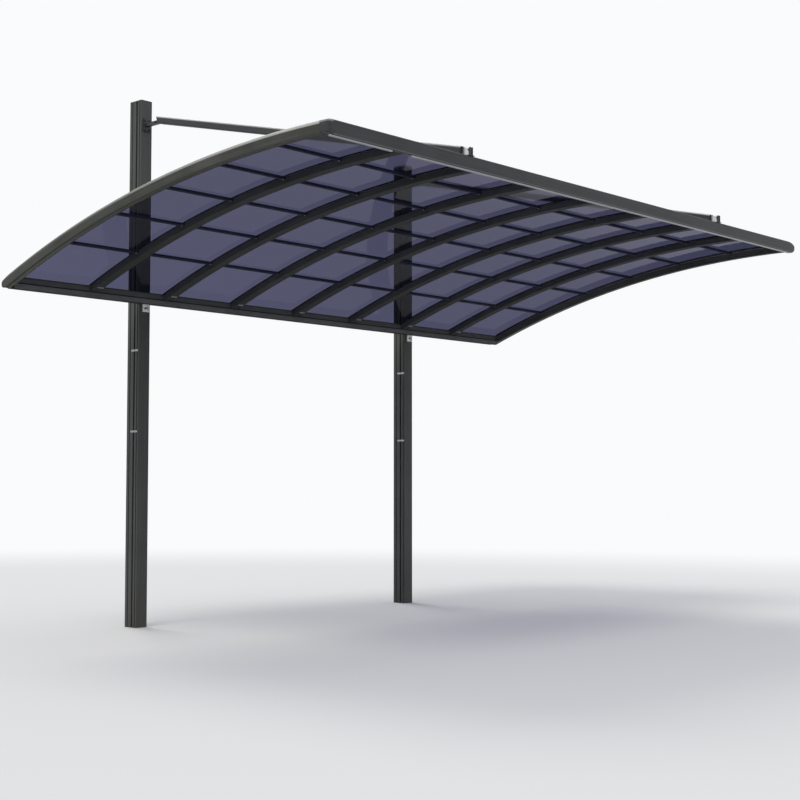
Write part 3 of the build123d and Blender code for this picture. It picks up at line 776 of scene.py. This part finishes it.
def fit_purlin_screws():
    """One small screw under each purlin's end."""
    from_end, purlin_depth = 0.014, 0.016
    places = []
    for number in range(1, PURLIN_COUNT + 1):
        low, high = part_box(f"purlin_{number}")
        t = -(low[1] + high[1]) / 2
        down = -roof_up(t)
        ends = [low[0], high[0]]
        for rib_low, rib_high in rib_boxes():
            ends += [rib_low[0], rib_high[0]]
        for place, end in enumerate(sorted(ends)):
            x = end + (from_end if place % 2 == 0 else -from_end)
            places.append((Vector((x, -t, roof_z(t))) + down * (SHEET_UNDER + purlin_depth), down))
    settle(spread(pan_screw(0.008, 0.003), "purlin_screws", places), bolt_finish)


def fit_foot_straps():
    """A narrow bare strap across the underside of each rib, a little way up from its foot."""
    start_t, end_t = 0.182, 0.192
    drop, thickness = 0.0455, 0.0023
    boxes = rib_boxes()
    rib_width = boxes[0][1][0] - boxes[0][0][0]
    left, right = 0.013, rib_width - 0.002
    section = [(left, -drop), (right, -drop), (right, -drop - thickness), (left, -drop - thickness)]
    strap = arc_bar("strap", section, start_t, end_t, 2)
    soften(strap, 0.0005, 1)
    straps = copied(strap, along_x([low[0] for low, high in boxes]))
    settle(join(straps, "foot_straps"), strap_finish)


def fit_bracket_bolts():
    """Bolts of the tie arms' rear brackets, and a smaller one in the tray of each beam bracket."""
    plate_t, tray_floor_t = BACK_T + 0.008, BACK_T + 0.012
    from_middle, from_edge = 0.020, 0.014
    forward = Vector((0, -1, 0))
    places = []
    tray_places = []
    for side_name, x in zip(("left", "right"), POSTS):
        low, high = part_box(f"{side_name}_arm_bracket")
        for way in (-from_middle, from_middle):
            for z in (low[2] + from_edge, high[2] - from_edge):
                places.append((Vector((x + way, -plate_t, z)), forward))
        low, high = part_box(f"{side_name}_beam_bracket")
        tray_places.append((Vector((x, -tray_floor_t, (low[2] + high[2]) / 2)), forward))
    settle(spread(hex_bolt(0.013, 0.006, 0.020), "bracket_bolts", places), lug_finish)
    settle(spread(hex_bolt(0.011, 0.005, 0.014), "tray_bolts", tray_places), lug_finish)


def settle_at_both_posts(model, name, material, node=None):
    """Copies a model made at the left post to both posts. Each copy is a piece, and may replace a node."""
    for side_name, piece in zip(("left", "right"), copied(model, along_x(POSTS))):
        piece.name = f"{side_name}_{name}"
        settle(piece, material)
        if node:
            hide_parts(f"{side_name}_{node}")


def fit_end_caps():
    """A black cap over the foot of each tie arm's front end."""
    back, front = ARM_FRONT_T - 0.002, ARM_FRONT_T + 0.003
    low, high = -0.51 * ARM_HEIGHT, 0.2856 * ARM_HEIGHT
    half = 0.51 * ARM_WIDTH
    section = [(back, arm_z(back) + low), (front, arm_z(front) + low),
               (front, arm_z(front) + high), (back, arm_z(back) + high)]
    cap = straight_bar("cap", section, -half, half)
    soften(cap, 0.0008, 1)
    settle_at_both_posts(cap, "arm_end_cap", gasket_finish)


def fit_tongues(half):
    """The flat white tongue that comes out of each tie arm's front end."""
    back, front, reach = ARM_FRONT_T - 0.010, 2.960, 0.0215
    corners = [(back, arm_z(back) - reach), (front, arm_z(front) - reach),
               (front, arm_z(front) + reach - 0.003), (back, arm_z(back) + reach)]
    tongue = straight_bar("tongue", corners, -half, half)
    round_edges(tongue, lambda p: abs(p.y + front) < ON_FACE, 0.004, 3)
    soften(tongue, 0.0006, 1)
    settle_at_both_posts(tongue, "tongue_plate", bright_finish, "arm_tongue")


def fit_forks(tongue_half):
    """The narrow dark forks on the front beam that hold the tongues with one pin each."""
    pin_t, pin_z, pin_radius, pin_length = 2.956, 2.836, 0.0045, 0.028
    foot_half, foot_depth, foot_thick = 0.024, 0.034, 0.005
    ear_depth, ear_thick, ear_gap = 0.017, 0.005, 0.0003
    low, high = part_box("left_arm_lug")
    front = -low[1]
    foot = straight_bar("foot", oblong(front - foot_depth, low[2], front, low[2] + foot_thick),
                        -foot_half, foot_half)
    soften(foot, 0.001)
    ear = straight_bar("ear", oblong(front - ear_depth, low[2] + 0.002, front, high[2]), 0.0, ear_thick)
    round_edges(ear, lambda p: p.z > high[2] - ON_FACE, 0.006, 4)
    soften(ear, 0.0005, 1)
    inner = tongue_half + ear_gap
    ears = copied(ear, along_x((-inner - ear_thick, inner)))
    clear_selection()
    bpy.ops.mesh.primitive_cylinder_add(vertices=20, radius=pin_radius, depth=pin_length,
                                        location=(0, -pin_t, pin_z), rotation=(0, math.pi / 2, 0))
    pin = placed(bpy.context.object)
    soften(pin, 0.0007, 1)
    settle_at_both_posts(join([foot, *ears, pin], "fork"), "fork_lug", lug_finish, "arm_lug")


def fit_arm_front_ends():
    """A cap, a tongue and a fork at each tie arm's front end."""
    tongue_half = 0.0050
    fit_end_caps()
    fit_tongues(tongue_half)
    fit_forks(tongue_half)


def fit_front_beam():
    """The front beam's own mesh, cut short where the right casting starts."""
    beam = bpy.data.objects.new("front_beam_profile", nodes["front_beam"].data.copy())
    bpy.context.scene.collection.objects.link(beam)
    only(beam)
    bpy.ops.object.mode_set(mode="EDIT")
    bpy.ops.mesh.select_all(action="SELECT")
    bpy.ops.mesh.remove_doubles(threshold=MERGE_GAP)
    bpy.ops.object.mode_set(mode="OBJECT")
    for vertex in beam.data.vertices:
        if vertex.co.x > NOSE_START:
            vertex.co.x = NOSE_START + 0.001
    settle(beam, beam_profile)
    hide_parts("front_beam")


def fit_front_edge():
    """The front beam, the pale lip under it with a black strip over the lip as painted shade in the gap, and
    the rounded castings at its ends.
    The lip is in two lengths with a break near its left end."""
    gap_height, lip_height, lip_depth = 0.0020, 0.0100, 0.0110
    low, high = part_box("front_trim")
    front_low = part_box("front_beam")[0]
    gap_z = high[2] - gap_height
    lip_z = gap_z - lip_height
    front = low[1]
    lip_t = -front - lip_depth
    fit_front_beam()

    lengths = []
    for start, end in ((low[0], LIP_BREAK[0]), (LIP_BREAK[1], NOSE_START + 0.001)):
        lip = straight_bar("lip", oblong(lip_t, lip_z, -front, gap_z), start, end)
        round_edges(lip, lambda p: (abs(p.y - front) < ON_FACE
                                    and min(abs(p.x - start), abs(p.x - end)) < ON_FACE), 0.004)
        soften(lip, 0.0015)
        lengths.append(lip)
    lip = settle(join(lengths, "front_lip"), lip_finish)
    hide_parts("front_trim")

    # Painted shade: a black strip stands in for the shadow in the gap between the beam and the lip.
    gap = straight_bar("painted_shadow_gap_strip", oblong(lip_t, gap_z, -front - 0.002, high[2]),
                       front_low[0], NOSE_START + 0.001)
    soften(gap, 0.0006, 1)
    settle(gap, gasket_finish)

    left_low, left_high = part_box("front_left_corner")
    right_low, right_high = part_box("front_right_corner")
    back_foot = (-left_high[1], left_low[2] + 0.016)
    left = nose_casting("left_front_casting", left_high[0], left_low[0], (-left_low[1], left_low[2]),
                        back_foot, left_high[2], plan_round=0.010, foot_round=0.012, head_round=0.002,
                        shoulder=0.005)
    settle(left, casting_finish)
    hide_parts("front_left_corner")
    right = nose_casting("right_front_casting", NOSE_START, right_high[0], (-right_low[1], lip_z + 0.004),
                         back_foot, right_high[2], plan_round=0.003, foot_round=0.040, head_round=0.040,
                         shoulder=0.002)
    settle(right, beam_profile)
    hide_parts("front_right_corner")


def fit_groove_clips():
    """Two stainless clips across the wide groove of each post's side faces, each held by one screw."""
    heights, size = (1.336, 1.894), (0.0024, 0.074, 0.013)
    middle_y, clip_out, screw_out = -0.020, 0.0492, 0.0504
    clear_selection()
    bpy.ops.mesh.primitive_cube_add(size=1.0, location=(0, 0, 0))
    clip = bpy.context.object
    clip.scale = size
    placed(clip)
    round_edges(clip, lambda p: True, 0.0008, 1)
    sides = [(x, way, z) for x in POSTS for way in (-1, 1) for z in heights]
    clips = copied(clip, [Matrix.Translation((x + way * clip_out, middle_y, z)) for x, way, z in sides])
    settle(join(clips, "groove_clips"), bolt_finish)
    screws = [(Vector((x + way * screw_out, middle_y, z)), Vector((way, 0, 0))) for x, way, z in sides]
    settle(spread(pan_screw(0.008, 0.0025), "groove_clip_screws", screws), bolt_finish)


def fit_end_screws():
    """Screws up into the end rafters' undersides, next to the back beam."""
    places = []
    for node in ("left_end_rafter", "right_end_rafter"):
        low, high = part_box(node)
        for t in (0.165, 0.195):
            down = -roof_up(t)
            point = Vector(((low[0] + high[0]) / 2, -t, roof_z(t))) + down * RAFTER_UNDER
            places.append((point, down))
    settle(spread(pan_screw(0.009, 0.0026), "end_screws", places), lug_finish)


place_camera()
light_the_studio()
lay_floor()
dress_frame()
fit_gaskets()
fit_strip_screws()
fit_purlin_screws()
fit_foot_straps()
fit_bracket_bolts()
fit_arm_front_ends()
fit_end_screws()
fit_front_edge()
fit_groove_clips()
